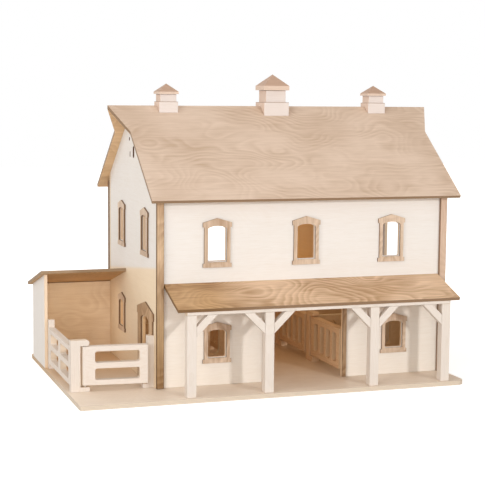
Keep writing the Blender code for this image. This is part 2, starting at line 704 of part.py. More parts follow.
def add_pivot(name, post, board, pivot, board_span, post_height):
    """Fixes a dowel in each end of a swinging board and bores the post's arms for them."""
    spans = ((PIN_SKIN, board_span[0] + PIN_ROOT), (board_span[1] - PIN_ROOT, post_height - PIN_SKIN))
    for end, (bottom, top) in zip(("lower", "upper"), spans):
        bore = add_dowel(f"{name}_{end}_bore", pivot, bottom - GAP, top + GAP, PIN_RADIUS + GAP)
        combine(post, bore, "DIFFERENCE")
        pin = add_dowel(f"{name}_{end}_pin", pivot, bottom, top, PIN_RADIUS)
        combine(board, pin, "UNION")


def add_arm_post(name, kind, width, height, upper, lower):
    """Makes a post with an upper and a lower arm towards +X, cut from one board."""
    tip = width + ARM_REACH
    upper_round = upper / 2
    outline = [(0, 0), (tip, 0), (tip, lower), (width, lower), (width, height - upper)]
    outline += arc(tip - upper_round, height - upper_round, upper_round, -pi / 2, pi / 2, PIVOT_STEPS)
    outline += [(0, height)]
    return add_sheet(name, kind, GATE_STOCK, outline)


def build_paddock():
    middle = PADDOCK_FRONT + GATE_STOCK / 2
    post_left = FENCE_FACE + GAP
    post = add_arm_post("gate_post", "softwood", SQUARE_STOCK, GATE_POST_HEIGHT, GATE_UPPER_ARM,
                        GATE_LOWER_ARM)
    face_front(post, post_left, middle, FLOOR)
    pivot = (post_left + SQUARE_STOCK + POST_CLEARANCE + GATE_STOCK / 2, middle)
    gate = add_swinging_board("paddock_gate", "softwood", GATE_LENGTH, GATE_BOTTOM, GATE_TOP, gate_slots(),
                              SLOT_CORNER, pivot, GATE_REST_TURN)
    add_pivot("paddock_gate", post, gate, pivot, (GATE_BOTTOM, GATE_TOP), GATE_POST_HEIGHT)

    latch_right = LEFT - GAP
    latch_left = latch_right - LATCH_WIDTH
    foot_left = latch_left - LATCH_FOOT
    outline = [(foot_left, 0), (latch_right, 0), (latch_right, LATCH_HEIGHT), (latch_left, LATCH_HEIGHT),
               (latch_left, GATE_LOWER_ARM), (foot_left, GATE_LOWER_ARM)]
    latch = add_sheet("latch_post", "softwood", GATE_STOCK, outline)
    face_front(latch, 0, middle, FLOOR)
    combine(latch, frame_housing(), "DIFFERENCE")

    build_fence(PADDOCK_FRONT + GATE_STOCK + GAP)


def frame_housing():
    """Returns the cutter that lets the latch post fit round the side door's frame."""
    frame_front = FRONT + SIDE_DOOR_PLACE - SIDE_DOOR_JAMBS / 2 - GAP
    bm = bmesh.new()
    bmesh.ops.create_cube(bm, size=1)
    notch = (2 * (FRAME_STOCK + 2 * GAP), SIDE_DOOR_JAMBS, 2 * SIDE_DOOR_PEAK)
    bmesh.ops.scale(bm, vec=notch, verts=bm.verts)
    mesh = bpy.data.meshes.new("frame_housing")
    bm.to_mesh(mesh)
    bm.free()
    housing = add_cutter("frame_housing", mesh)
    housing.location = (LEFT, frame_front + SIDE_DOOR_JAMBS / 2, FLOOR)
    return housing


def build_fence(start):
    """Adds the slotted fence from the gate post to the post at the lean-to's corner."""
    end_post_rear = FRONT + LEAN_TO_PANEL_FRONT - GAP
    end_post_front = end_post_rear - RAIL_STOCK
    length = end_post_front - GAP - start
    far_end = length - FENCE_END_STILE
    hole_ends = (far_end, far_end - FENCE_HOLE - FENCE_STILE)
    slot_levels = [(low, high) for x0, low, x1, high in gate_slots()]
    holes = [round_rectangle(end - FENCE_HOLE, low, end, high, SLOT_CORNER, SLOT_CORNER_STEPS)
             for end in hole_ends for low, high in slot_levels]
    outline = rectangle(0, GATE_BOTTOM, length, GATE_TOP)
    fence = add_sheet("paddock_fence", "softwood", RAIL_STOCK, outline, holes)
    x = FENCE_FACE + GAP + RAIL_STOCK / 2
    face_side(fence, x, start, FLOOR)
    add_block("fence_end_post", "softwood", (x - RAIL_STOCK / 2, end_post_front, FLOOR),
              (x + RAIL_STOCK / 2, end_post_rear, FLOOR + FENCE_END_POST_HEIGHT))


def build_stalls():
    door_centre = AISLE_WIDTH / 2 + GATE_STOCK / 2
    posts = (("front", STALL_MID_POST), ("rear", STALL_REAR_POST))
    slots = stall_slots(STALL_PIVOT_STILE, STALL_SLOT, STALL_BAR)
    for side, sign in (("left", -1), ("right", 1)):
        x = MIDDLE + sign * door_centre
        for row, post_front in posts:
            name = f"stall_door_{row}_{side}"
            post = add_arm_post(f"stall_post_{row}_{side}", "softwood", SQUARE_STOCK, STALL_POST_HEIGHT,
                                STALL_UPPER_ARM, STALL_LOWER_ARM)
            post.rotation_euler = (pi / 2, 0, -pi / 2)
            post.location = (x, FRONT + post_front + SQUARE_STOCK, FLOOR)
            pivot = (x, FRONT + post_front - POST_CLEARANCE - GATE_STOCK / 2)
            door = add_swinging_board(name, "softwood", STALL_DOOR_LENGTH, STALL_DOOR_BOTTOM, STALL_DOOR_TOP,
                                      slots, SLOT_CORNER, pivot, -pi / 2)
            add_pivot(name, post, door, pivot, (STALL_DOOR_BOTTOM, STALL_DOOR_TOP), STALL_POST_HEIGHT)
        add_partition(side, sign)


def add_partition(side, sign):
    """Adds the slotted panel between the two stalls of one side."""
    inner = AISLE_WIDTH / 2 + GATE_STOCK + GAP
    outer = BARN_WIDTH / 2 - PLY - GAP
    length = outer - inner
    slot_room = length - 2 * PARTITION_STILE
    bar = (slot_room - STALL_SLOTS * PARTITION_SLOT) / (STALL_SLOTS - 1)
    slots = stall_slots(inner + PARTITION_STILE, PARTITION_SLOT, bar)
    holes = [round_rectangle(x0, y0, x1, y1, PARTITION_SLOT / 2 - GAP, SLOT_CORNER_STEPS)
             for x0, y0, x1, y1 in slots]
    panel = rectangle(inner, 0, outer, STALL_DOOR_TOP)
    flip = [[(sign * x, y) for x, y in loop] for loop in (panel, *holes)]
    piece = add_sheet(f"stall_partition_{side}", "pale_birch", RAIL_STOCK, flip[0], flip[1:])
    face_front(piece, MIDDLE, FRONT + STALL_MID_POST + SQUARE_STOCK / 2, FLOOR)


def build_cupolas():
    side_place = BARN_WIDTH / 2 - CUPOLA_INSET
    for name, shift, sizes in (("left", -side_place, SMALL_CUPOLA), ("middle", 0, BIG_CUPOLA),
                               ("right", side_place, SMALL_CUPOLA)):
        add_cupola(name, ROOF_MIDDLE + shift, sizes)


def add_cupola(name, x, sizes):
    """Adds a cupola: a block that steps in above the ridge, and its hipped roof."""
    ridge_z = FLOOR + RIDGE_HEIGHT
    saddle_half = sizes["saddle"] / 2
    notch = saddle_half * tan(ROOF_SLOPE)
    outline = [(-saddle_half, -notch), (0, 0), (saddle_half, -notch), (saddle_half, SADDLE_TOP),
               (-saddle_half, SADDLE_TOP)]
    block = add_sheet("cupola_body_" + name, "softwood", sizes["saddle"], outline)
    face_side(block, x, RIDGE, ridge_z + ROOF_SEAT)

    body_top = ridge_z + sizes["body_top"]
    bm = bmesh.new()
    bmesh.ops.create_cube(bm, size=1)
    step = (sizes["body"], sizes["body"], sizes["body_top"] - SADDLE_TOP / 2)
    bmesh.ops.scale(bm, vec=step, verts=bm.verts)
    mesh = bpy.data.meshes.new("cupola_step_" + name)
    bm.to_mesh(mesh)
    bm.free()
    step = add_cutter("cupola_step_" + name, mesh)
    step.location = (x, RIDGE, body_top - (sizes["body_top"] - SADDLE_TOP / 2) / 2)
    combine(block, step, "UNION")
    ease(block, EASED_EDGE)

    bm = bmesh.new()
    bmesh.ops.create_cone(bm, cap_ends=True, segments=4, radius1=sizes["eave"] / 2 ** 0.5,
                          radius2=sizes["eave"] / 2 ** 0.5, depth=sizes["fascia"])
    lid = max(bm.faces, key=lambda face: face.calc_center_median().z)
    apex = bmesh.ops.poke(bm, faces=[lid])["verts"][0]
    apex.co.z = sizes["apex"] - sizes["body_top"] - sizes["fascia"] / 2 - GAP
    mesh = bpy.data.meshes.new("cupola_roof_" + name)
    bm.to_mesh(mesh)
    bm.free()
    roof = add_object("cupola_roof_" + name, mesh, "roof_birch")
    roof.rotation_euler = (0, 0, pi / 4)
    roof.location = (x, RIDGE, body_top + GAP + sizes["fascia"] / 2)


def main():
    start_scene()
    build_base()
    build_front_wall()
    build_left_wall()
    build_right_wall()
    build_rear_wall()
    build_corner_trims()
    build_loft()
    build_main_roof()
    build_porch()
    build_lean_to()
    build_paddock()
    build_stalls()
    build_cupolas()


main()
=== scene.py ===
"""Studio scene of a wooden toy barn with a porch, stalls, a lean-to and a fenced paddock."""

from math import cos, pi, radians, sin

import bpy
from mathutils import Matrix, Vector

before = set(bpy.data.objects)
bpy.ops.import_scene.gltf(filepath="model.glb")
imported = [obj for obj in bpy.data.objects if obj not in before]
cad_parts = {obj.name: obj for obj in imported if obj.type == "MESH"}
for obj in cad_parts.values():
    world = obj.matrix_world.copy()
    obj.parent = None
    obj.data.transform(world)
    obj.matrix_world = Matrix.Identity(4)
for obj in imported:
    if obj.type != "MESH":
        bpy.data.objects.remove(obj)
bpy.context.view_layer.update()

# Camera, solved from the straight edges of the toy in the photograph
EYE = Vector((-0.90987, -2.68693, 0.59667))
LOOK_RIGHT = Vector((0.9470304, -0.32103749, 0.00826761))
LOOK_UP = Vector((0.02815442, 0.10864297, 0.99368206))
LOOK_FORWARD = Vector((0.31990741, 0.94081435, -0.11192682))
LENS = 98.08
SENSOR = 36.0
SHIFT_X = 0.0011
SHIFT_Y = 0.0039

# Slopes of the boards that don't lie along an axis
ROOF_SLOPE = radians(36.62)
PORCH_SLOPE = radians(18.9)
LEAN_TO_SLOPE = radians(15)

AXIS_X = Vector((1, 0, 0))
AXIS_Y = Vector((0, 1, 0))
AXIS_Z = Vector((0, 0, 1))

# Thickness of a board and the number of its plies
BOARD = 0.0065
PLIES = 5

# Rounding of the edges of pale boards, and of scorched ones, where it carries their dark line
BOARD_EDGE = 0.0005
SCORCHED_EDGE = 0.0012
EDGE_STEPS = 2
EDGE_ANGLE = radians(35)

# Kinds of wood: light and dark tones of the face, strength of the figure, tone of the cut edge, roughness.
# Plywood also has the tone of the line between face and edge, and the strength of the plies
KINDS = {
    "wall": dict(light=(0.835, 0.800, 0.765), dark=(0.745, 0.680, 0.610), figure=0.22,
                 edge=(0.900, 0.710, 0.520), line=(0.780, 0.630, 0.470), plies=0.22, rough=0.50),
    # Interior plywood: partly its own warmer tone, partly painted warm bounce light of the rooms
    "inner": dict(light=(0.800, 0.590, 0.390), dark=(0.650, 0.440, 0.250), figure=0.55,
                  edge=(0.780, 0.610, 0.420), line=(0.600, 0.420, 0.250), plies=0.35, rough=0.55),
    # Lean-to back: brighter and warmer than the wall plywood, partly painted warm bounce light under the
    # lean-to
    "back": dict(light=(0.940, 0.780, 0.590), dark=(0.760, 0.580, 0.400), figure=0.85,
                 edge=(0.780, 0.610, 0.420), line=(0.600, 0.420, 0.250), plies=0.35, rough=0.55),
    "base": dict(light=(0.905, 0.790, 0.670), dark=(0.790, 0.655, 0.525), figure=0.45,
                 edge=(0.760, 0.640, 0.510), line=(0.680, 0.550, 0.420), plies=0.40, rough=0.42),
    "roof": dict(light=(0.750, 0.595, 0.480), dark=(0.540, 0.390, 0.280), figure=0.85,
                 edge=(0.330, 0.215, 0.130), line=(0.180, 0.105, 0.058), plies=0.30, rough=0.45),
    # Loft partition: its deep orange is partly painted warm bounce light of the loft
    "loft": dict(light=(0.900, 0.500, 0.130), dark=(0.780, 0.410, 0.095), figure=0.45,
                 edge=(0.450, 0.300, 0.180), line=(0.300, 0.190, 0.110), plies=0.35, rough=0.50),
    "porch": dict(light=(0.860, 0.630, 0.440), dark=(0.440, 0.260, 0.130), figure=1.05,
                  edge=(0.310, 0.195, 0.115), line=(0.160, 0.090, 0.048), plies=0.35, rough=0.42),
    "trim": dict(light=(0.700, 0.500, 0.320), dark=(0.330, 0.195, 0.105), figure=1.10,
                 edge=(0.240, 0.145, 0.080), line=(0.150, 0.085, 0.045), plies=0.30, rough=0.50),
    "pink": dict(light=(0.690, 0.510, 0.390), dark=(0.540, 0.375, 0.265), figure=0.70,
                 edge=(0.300, 0.190, 0.120), line=(0.220, 0.135, 0.080), plies=0.30, rough=0.50),
    "shed": dict(light=(0.560, 0.385, 0.240), dark=(0.360, 0.225, 0.130), figure=0.80,
                 edge=(0.360, 0.245, 0.150), line=(0.170, 0.100, 0.055), plies=0.35, rough=0.48),
    "frame": dict(light=(0.770, 0.610, 0.470), dark=(0.460, 0.315, 0.210), figure=1.00,
                  edge=(0.210, 0.125, 0.070), line=(0.130, 0.075, 0.040), plies=0.30, rough=0.50),
    "cupola": dict(light=(0.785, 0.705, 0.660), dark=(0.700, 0.590, 0.530), figure=0.22,
                   edge=(0.720, 0.560, 0.460), rough=0.58),
    "cap": dict(light=(0.540, 0.370, 0.275), dark=(0.430, 0.275, 0.190), figure=0.40,
                edge=(0.700, 0.540, 0.430), line=(0.430, 0.280, 0.190), plies=0.0, rough=0.50),
    "stock": dict(light=(0.790, 0.715, 0.650), dark=(0.690, 0.590, 0.495), figure=0.30,
                  edge=(0.780, 0.650, 0.510), rough=0.58),
    # Solid wood inside the stalls: darker and warmer than the porch stock, partly painted shade of the
    # stalls
    "stall": dict(light=(0.800, 0.560, 0.350), dark=(0.600, 0.370, 0.200), figure=0.45,
                  edge=(0.700, 0.500, 0.310), rough=0.58),
}
SOLID_KINDS = ("stock", "stall", "cupola")
SCORCHED_KINDS = ("roof", "porch", "trim", "pink", "shed", "frame")

# How squarely a surface of plywood faces along its board's normal: cut edges lie below the first share, and
# the face lies above the second
EDGE_SHARES = (0.30, 0.97)
CAP_SHARES = (0.10, 0.68)

# Grain of the braces that rise to the right and to the left
RISING = (AXIS_X + AXIS_Z).normalized()
FALLING = (AXIS_X - AXIS_Z).normalized()

# Pieces that face the front, the side and upwards: the kind of wood and the way of its grain
FRONT_PIECES = {
    "front_wall": ("wall", AXIS_X),
    "lean_to_back": ("back", AXIS_X),
    "stall_partition_left": ("inner", AXIS_X),
    "stall_partition_right": ("inner", AXIS_X),
    "doorway_trim": ("trim", AXIS_Z),
    "front_corner_trim_left": ("trim", AXIS_Z),
    "front_corner_trim_right": ("pink", AXIS_Z),
    "rear_corner_post_left": ("pink", AXIS_Z),
    "rear_corner_post_right": ("pink", AXIS_Z),
    "rear_wall": ("inner", AXIS_X),
    "loft_window_left": ("frame", AXIS_Z),
    "loft_window_middle": ("frame", AXIS_Z),
    "loft_window_right": ("frame", AXIS_Z),
    "stall_window_left": ("frame", AXIS_Z),
    "stall_window_right": ("frame", AXIS_Z),
    "porch_beam": ("stock", AXIS_X),
    "porch_post_1": ("stock", AXIS_Z),
    "porch_post_2": ("stock", AXIS_Z),
    "porch_post_3": ("stock", AXIS_Z),
    "porch_post_4": ("stock", AXIS_Z),
    "porch_brace_1_right": ("stock", RISING),
    "porch_brace_2_left": ("stock", FALLING),
    "porch_brace_2_right": ("stock", RISING),
    "porch_brace_3_left": ("stock", FALLING),
    "porch_brace_3_right": ("stock", RISING),
    "porch_brace_4_left": ("stock", FALLING),
    "gate_post": ("stock", AXIS_Z),
    "paddock_gate": ("stock", AXIS_X),
    "latch_post": ("stock", AXIS_Z),
    "cupola_body_left": ("cupola", AXIS_X),
    "cupola_body_middle": ("cupola", AXIS_X),
    "cupola_body_right": ("cupola", AXIS_X),
}
SIDE_PIECES = {
    "left_gable_wall": ("wall", AXIS_Y),
    "right_gable_wall": ("wall", AXIS_Y),
    "loft_partition": ("loft", AXIS_Y),
    "lean_to_side": ("wall", AXIS_Z),
    "side_door_frame": ("trim", AXIS_Z),
    "gable_window_front": ("frame", AXIS_Z),
    "gable_window_rear": ("frame", AXIS_Z),
    "paddock_window": ("frame", AXIS_Z),
    "paddock_fence": ("stock", AXIS_Y),
    "fence_end_post": ("stock", AXIS_Z),
    "stall_post_front_left": ("stall", AXIS_Z),
    "stall_post_front_right": ("stall", AXIS_Z),
    "stall_post_rear_left": ("stall", AXIS_Z),
    "stall_post_rear_right": ("stall", AXIS_Z),
    "stall_door_front_left": ("stall", AXIS_Y),
    "stall_door_front_right": ("stall", AXIS_Y),
    "stall_door_rear_left": ("stall", AXIS_Y),
    "stall_door_rear_right": ("stall", AXIS_Y),
}
FLAT_PIECES = {
    "base_board": ("base", AXIS_X),
    "loft_floor": ("inner", AXIS_X),
    "cupola_roof_left": ("cap", AXIS_X),
    "cupola_roof_middle": ("cap", AXIS_X),
    "cupola_roof_right": ("cap", AXIS_X),
}

# Sloping pieces: the kind of wood and the way their face looks. The grain runs along the barn
SLOPED_PIECES = {
    "roof_front_sheet": ("roof", Vector((0, -sin(ROOF_SLOPE), cos(ROOF_SLOPE)))),
    "roof_rear_sheet": ("roof", Vector((0, sin(ROOF_SLOPE), cos(ROOF_SLOPE)))),
    "porch_roof": ("porch", Vector((0, -sin(PORCH_SLOPE), cos(PORCH_SLOPE)))),
    "lean_to_roof": ("shed", Vector((0, sin(LEAN_TO_SLOPE), cos(LEAN_TO_SLOPE)))),
}

# Across the slanting line below which the left wall carries painted warm bounce light and shade
PAINTED_SHADE_LINE_ACROSS = Vector((0, 0.114, 1))

# Zones of tint on single pieces, most of them painted light and shade: the axis along which the colour
# changes, the places where the change starts and ends, and the factor on each colour beyond the end
LIGHT_AND_TONE_ZONES = {
    "left_gable_wall": (
        # Painted warm bounce light and shade on the left wall below the lean-to's roof line
        dict(axis=PAINTED_SHADE_LINE_ACROSS, start=0.2390, end=0.2300, tint=(1.05, 0.91, 0.71)),
        dict(axis=AXIS_Y, start=0.2270, end=0.2390, tint=(0.93, 0.80, 0.62)),
    ),
    # Painted warm bounce light on the front wall under the porch roof
    "front_wall": (dict(axis=AXIS_Z, start=0.2150, end=0.1900, tint=(1.06, 1.03, 0.98)),),
    # Painted shade on the left front corner trim, darker towards the bottom under the porch roof
    "front_corner_trim_left": (dict(axis=AXIS_Z, start=0.2600, end=0.1000, tint=(0.88, 0.84, 0.72)),),
    "porch_roof": (dict(axis=AXIS_X, start=-0.0300, end=-0.1500, tint=(0.75, 0.66, 0.50)),),
    # Painted shade on the floor, darker deeper inside the barn
    "base_board": (dict(axis=AXIS_Y, start=-0.1500, end=0.1200, tint=(0.81, 0.68, 0.53)),),
    # A dark joint line beside the left wall, deepened with painted shade
    "rear_corner_post_left": (dict(axis=AXIS_Y, start=0.2540, end=0.2480, tint=(0.45, 0.36, 0.28)),),
}

# The scorched openings under the left gable, deepened with painted shade: the height above which that
# wall's cut edges are dark
VENT_FLOOR = 0.4450
VENT_SCORCH_AND_SHADE = (0.14, 0.07, 0.04)

# Painted warm bounce light on the undersides of the sloping boards: the factor on each colour there, on the
# surfaces that face the board's normal by less than this share
PAINTED_UNDERSIDE_LIGHT = (1.18, 1.06, 0.80)
UNDER_FACING = -0.9

# Dark lines round the cupolas, a joint lower down and a painted shadow line under each cupola roof: heights
# of their middles, half their width and the factor on each colour
JOINT_AND_SHADOW_LINES = {
    "cupola_body_left": (0.5823, 0.5978),
    "cupola_body_middle": (0.5823, 0.6078),
    "cupola_body_right": (0.5823, 0.5978),
}
DARK_LINE_HALF = 0.0005
JOINT_AND_SHADOW_TINT = (0.50, 0.40, 0.32)

# Square lamps, with the light that each puts on a white surface that faces it at the aim
AIM = Vector((0, 0, 0.25))
LAMPS = (
    dict(name="key", place=Vector((1.10, -3.15, 0.95)), size=0.24, level=0.29),
    dict(name="front_fill", place=Vector((-0.80, -3.50, 0.62)), size=1.40, level=0.13),
    dict(name="left_fill", place=Vector((-2.80, -2.00, 1.10)), size=2.40, level=0.40),
    dict(name="side_fill", place=Vector((-2.40, 2.20, 1.20)), size=1.60, level=0.16),
    dict(name="top_fill", place=Vector((-0.50, -0.50, 3.20)), size=2.60, level=0.22),
    dict(name="rear_fill", place=Vector((-0.40, 3.20, 1.00)), size=3.20, level=0.24),
)

# Light from all sides, and the plain white that the camera sees behind the toy
WHITE = (1, 1, 1)
WORLD_COLOUR = (1.00, 0.91, 0.81)
WORLD_LEVEL = 0.42

# Warm lamps for the light that pale wood scatters in the rooms. Each shines down, turned back by its tilt
GLOWS = (
    dict(name="stall_glow", place=Vector((0.088, 0.041, 0.200)), tilt=0, size=(0.58, 0.36), power=0.23),
    dict(name="loft_glow", place=Vector((-0.040, 0.041, 0.480)), tilt=0, size=(0.30, 0.12), power=0.11),
    dict(name="shelter_glow", place=Vector((-0.320, 0.120, 0.165)), tilt=radians(35), size=(0.08, 0.03),
         power=0.03),
)
GLOW_COLOUR = (1.00, 0.80, 0.54)

# The backdrop paper glows evenly white, a little less near the toy, where its faint shadow shows
FLOOR_SIZE = 16.0
FLOOR_TONE = 0.70
FLOOR_ROUGHNESS = 0.9
FLOOR_GLOW = 0.62
GLOW_START = 0.60
GLOW_END = 1.60

# Sockets of the Mix node when it mixes colours
MIX_FACTOR = 0
MIX_FIRST = 6
MIX_SECOND = 7
MIX_RESULT = 2

# Layers of the grain: the lengths over which each varies along the grain and across it, its levels of finer
# detail and how rough these are
LAYERS = {
    "figure": dict(along=0.26, across=0.16, detail=2.0, rough=0.42),
    "figure_fade": dict(along=0.12, across=0.06, detail=1.0, rough=0.5),
    "ring_wander": dict(along=0.26, across=0.060, detail=1.0, rough=0.4),
    "streaks": dict(along=0.14, across=0.005, detail=3.0, rough=0.6),
    "fibres": dict(along=0.030, across=0.0011, detail=2.0, rough=0.6),
    "blotch": dict(along=0.12, across=0.12, detail=2.0, rough=0.5),
}

# Flame figure of plywood: lines over the range of its layer, the shares of a line's width where it has gone
# and where it starts to go, and the noise between which the whole figure comes up
FIGURE_LINES = 32.0
LINE_FADE = (1.0, 0.6)
FIGURE_FADE = (0.25, 0.65)

# Yearly rings of solid wood: their width, how far from the barn's middle their centre line lies, how far
# they wander at most, and how steeply each one darkens
RING = 0.0032
RING_CENTRE = 0.060
RING_WANDER = 0.060
RING_POWER = 2.0

# The noise between which each layer comes up, and how much it darkens the wood. For the figure and the
# blotches that is times the kind's strength of figure, and for the streaks times that strength and the floor
STREAK_RANGE = (0.35, 0.72)
FIBRE_RANGE = (0.42, 0.72)
BLOTCH_RANGE = (0.35, 0.75)
FIGURE_WEIGHT = 0.72
STREAK_WEIGHT = 0.24
STREAK_FLOOR = 0.3
FIBRE_WEIGHT = 0.28
BLOTCH_WEIGHT = 0.45

# The share of a cut edge's tone that a dark ply keeps, and the heights of the wave between which it darkens
DARK_PLY = 0.6
PLY_RANGE = (-0.3, 0.5)

# How squarely a surface of solid wood faces along its grain where its end tone starts and where it is full
END_RANGE = (0.80, 0.90)

# Sheen of the wood, and the depth and strength of its relief
SPECULAR = 0.20
BUMP_DEPTH = 0.00012
BUMP_STRENGTH = 0.5

# How far the grain is moved along from each piece to the next
SEED_STEP = 3.7


class Tree:
    """Adds and joins the nodes of one node tree."""

    def __init__(self, tree):
        self.tree = tree

    def node(self, kind, **values):
        node = self.tree.nodes.new(kind)
        for name, value in values.items():
            setattr(node, name, value)
        return node

    def feed(self, socket, value):
        if isinstance(value, bpy.types.NodeSocket):
            self.tree.links.new(value, socket)
        else:
            socket.default_value = value

    def math(self, operation, *inputs):
        node = self.node("ShaderNodeMath", operation=operation)
        for socket, value in zip(node.inputs, inputs):
            self.feed(socket, value)
        return node.outputs[0]

    def dot(self, vector, axis):
        node = self.node("ShaderNodeVectorMath", operation="DOT_PRODUCT")
        self.feed(node.inputs[0], vector)
        self.feed(node.inputs[1], axis)
        return node.outputs["Value"]

    def combine(self, *parts):
        node = self.node("ShaderNodeCombineXYZ")
        for socket, value in zip(node.inputs, parts):
            self.feed(socket, value)
        return node.outputs[0]

    def noise(self, vector, detail, rough):
        node = self.node("ShaderNodeTexNoise", noise_dimensions="3D")
        self.feed(node.inputs["Vector"], vector)
        node.inputs["Scale"].default_value = 1
        node.inputs["Detail"].default_value = detail
        node.inputs["Roughness"].default_value = rough
        return node.outputs["Fac"]

    def ramp(self, value, low, high):
        """Returns a smooth step from 0 at low to 1 at high."""
        node = self.node("ShaderNodeMapRange", interpolation_type="SMOOTHSTEP")
        self.feed(node.inputs["Value"], value)
        node.inputs["From Min"].default_value = low
        node.inputs["From Max"].default_value = high
        return node.outputs["Result"]

    def tinted(self, colour, tint):
        node = self.node("ShaderNodeVectorMath", operation="MULTIPLY")
        self.feed(node.inputs[0], colour)
        self.feed(node.inputs[1], tint)
        return node.outputs["Vector"]

    def mix(self, factor, first, second):
        node = self.node("ShaderNodeMix", data_type="RGBA")
        self.feed(node.inputs[MIX_FACTOR], factor)
        for place, value in ((MIX_FIRST, first), (MIX_SECOND, second)):
            colour = value if isinstance(value, bpy.types.NodeSocket) else (*value, 1)
            self.feed(node.inputs[place], colour)
        return node.outputs[MIX_RESULT]


class Grain:
    """Places along, across and through one board, and noises stretched along its grain."""

    def __init__(self, tree, normal, grain, seed):
        self.tree = tree
        coords = tree.node("ShaderNodeTexCoord")
        self.point = coords.outputs["Object"]
        self.surface = coords.outputs["Normal"]
        self.along = tree.math("ADD", tree.dot(self.point, grain), seed)
        self.across = tree.dot(self.point, normal.cross(grain).normalized())
        self.through = tree.dot(self.point, normal)

    def layer(self, name):
        """Returns the noise of one layer."""
        size = LAYERS[name]
        scaled = self.tree.combine(
            self.tree.math("MULTIPLY", self.along, 1 / size["along"]),
            self.tree.math("MULTIPLY", self.across, 1 / size["across"]),
            self.tree.math("MULTIPLY", self.through, 1 / size["across"]),
        )
        return self.tree.noise(scaled, size["detail"], size["rough"])

    def contours(self):
        """Returns the flame figure of peeled veneer, from 0 to 1."""
        tree = self.tree
        turns = tree.math("FRACT", tree.math("MULTIPLY", self.layer("figure"), FIGURE_LINES))
        lines = tree.math("MULTIPLY", turns, tree.ramp(turns, *LINE_FADE))
        return tree.math("MULTIPLY", lines, tree.ramp(self.layer("figure_fade"), *FIGURE_FADE))

    def year_rings(self):
        """Returns the yearly rings of a solid piece, about a line along its grain, from 0 to 1."""
        tree = self.tree
        warp = tree.math("MULTIPLY", self.layer("ring_wander"), RING_WANDER)
        side = tree.math("ADD", self.across, RING_CENTRE)
        side_square = tree.math("MULTIPLY", side, side)
        depth_square = tree.math("MULTIPLY", self.through, self.through)
        radius = tree.math("SQRT", tree.math("ADD", side_square, depth_square))
        turns = tree.math("MULTIPLY", tree.math("ADD", radius, warp), 1 / RING)
        return tree.math("POWER", tree.math("FRACT", turns), RING_POWER)


def face_colour(tree, tone, figure, streaks, fibres, blotch):
    """Darkens the light tone where the layers of the grain come up."""
    strength = tone["figure"]
    streak_weight = STREAK_WEIGHT * (STREAK_FLOOR + strength)
    dark = tree.math("MULTIPLY", figure, FIGURE_WEIGHT * strength)
    dark = tree.math("MULTIPLY_ADD", tree.ramp(streaks, *STREAK_RANGE), streak_weight, dark)
    dark = tree.math("MULTIPLY_ADD", tree.ramp(fibres, *FIBRE_RANGE), FIBRE_WEIGHT, dark)
    dark = tree.math("MULTIPLY_ADD", tree.ramp(blotch, *BLOTCH_RANGE), BLOTCH_WEIGHT * strength, dark)
    return tree.mix(tree.math("MINIMUM", dark, 1), tone["light"], tone["dark"])


def solid_colour(tree, tone, facing, face):
    """Gives a solid piece its end tone where it faces along the grain."""
    return tree.mix(tree.ramp(facing, *END_RANGE), face, tone["edge"])


def plywood_colour(fibre, name, kind, facing, face):
    """Gives a board its plies on the cut edges, and the line between these and its face."""
    tree = fibre.tree
    tone = KINDS[kind]
    edge_share, face_share = CAP_SHARES if kind == "cap" else EDGE_SHARES
    wave = tree.math("SINE", tree.math("MULTIPLY", fibre.through, pi * PLIES / BOARD))
    plies = tree.math("MULTIPLY", tree.ramp(wave, *PLY_RANGE), tone["plies"])
    edge = tree.mix(plies, tone["edge"], [DARK_PLY * part for part in tone["edge"]])
    # Dark cut edges of the gable openings: scorch deepened with painted shade
    if name == "left_gable_wall":
        high = tree.math("GREATER_THAN", tree.dot(fibre.point, AXIS_Z), VENT_FLOOR)
        edge = tree.mix(high, edge, VENT_SCORCH_AND_SHADE)
    off_face = tree.math("LESS_THAN", facing, face_share)
    on_edge = tree.math("LESS_THAN", facing, edge_share)
    return tree.mix(off_face, face, tree.mix(on_edge, tone["line"], edge))


def local_tints(fibre, name, normal, colour):
    """Adds what only some pieces have: tone zones, painted light and shade, and joint lines."""
    tree = fibre.tree
    for zone in LIGHT_AND_TONE_ZONES.get(name, ()):
        place = tree.dot(fibre.point, zone["axis"])
        beyond = tree.ramp(place, zone["start"], zone["end"])
        colour = tree.mix(beyond, colour, tree.tinted(colour, zone["tint"]))
    # Painted warm bounce light on the undersides of the sloping boards
    if name in SLOPED_PIECES:
        below = tree.math("LESS_THAN", tree.dot(fibre.surface, normal), UNDER_FACING)
        colour = tree.mix(below, colour, tree.tinted(colour, PAINTED_UNDERSIDE_LIGHT))
    height = tree.dot(fibre.point, AXIS_Z)
    # Dark lines round the cupolas: joints, and painted shadow under the cupola roofs
    for level in JOINT_AND_SHADOW_LINES.get(name, ()):
        off_line = tree.math("ABSOLUTE", tree.math("SUBTRACT", height, level))
        on_line = tree.math("LESS_THAN", off_line, DARK_LINE_HALF)
        colour = tree.mix(on_line, colour, tree.tinted(colour, JOINT_AND_SHADOW_TINT))
    return colour


